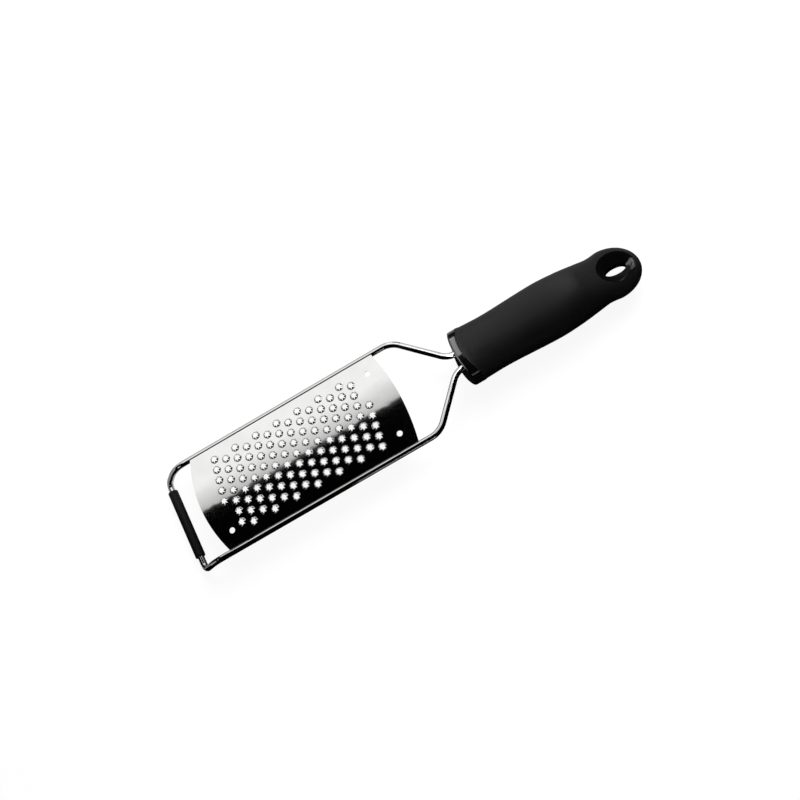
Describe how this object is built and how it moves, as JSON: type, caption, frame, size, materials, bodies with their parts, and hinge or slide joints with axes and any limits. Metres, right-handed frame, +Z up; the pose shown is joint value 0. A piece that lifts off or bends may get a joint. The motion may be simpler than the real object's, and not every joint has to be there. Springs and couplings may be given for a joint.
{
  "type": "hand grater",
  "caption": "Hand-held kitchen grater: arched star-punched steel blade on a bent rod frame with a rubber foot bar and a soft-grip handle with a hanging eye.",
  "frame": {"origin": "middle of the footprint, on the table the grater lies on", "axes": "+X from the foot bar to the handle's tail, +Y across the blade, +Z up out of the grating face"},
  "size_m": [0.3266, 0.0706, 0.0294],
  "materials": {
    "polished_steel": "polished",
    "weld_steel": "dull",
    "foot_rubber": "matte",
    "soft_grip": "soft matte",
    "gloss_black": "gloss",
    "core_plastic": "moulded"
  },
  "bodies": {
    "root": {"blade": "polished_steel", "frame_rod": "polished_steel", "foot_sleeve": "foot_rubber", "front_collar": "gloss_black", "handle_core": "core_plastic", "grip": "soft_grip", "hang_eye_liner": "gloss_black", "weld_left_1": "weld_steel", "weld_left_2": "weld_steel", "weld_left_3": "weld_steel", "weld_left_4": "weld_steel", "weld_right_1": "weld_steel", "weld_right_2": "weld_steel", "weld_right_3": "weld_steel", "weld_right_4": "weld_steel"}
  },
  "joints": []
}
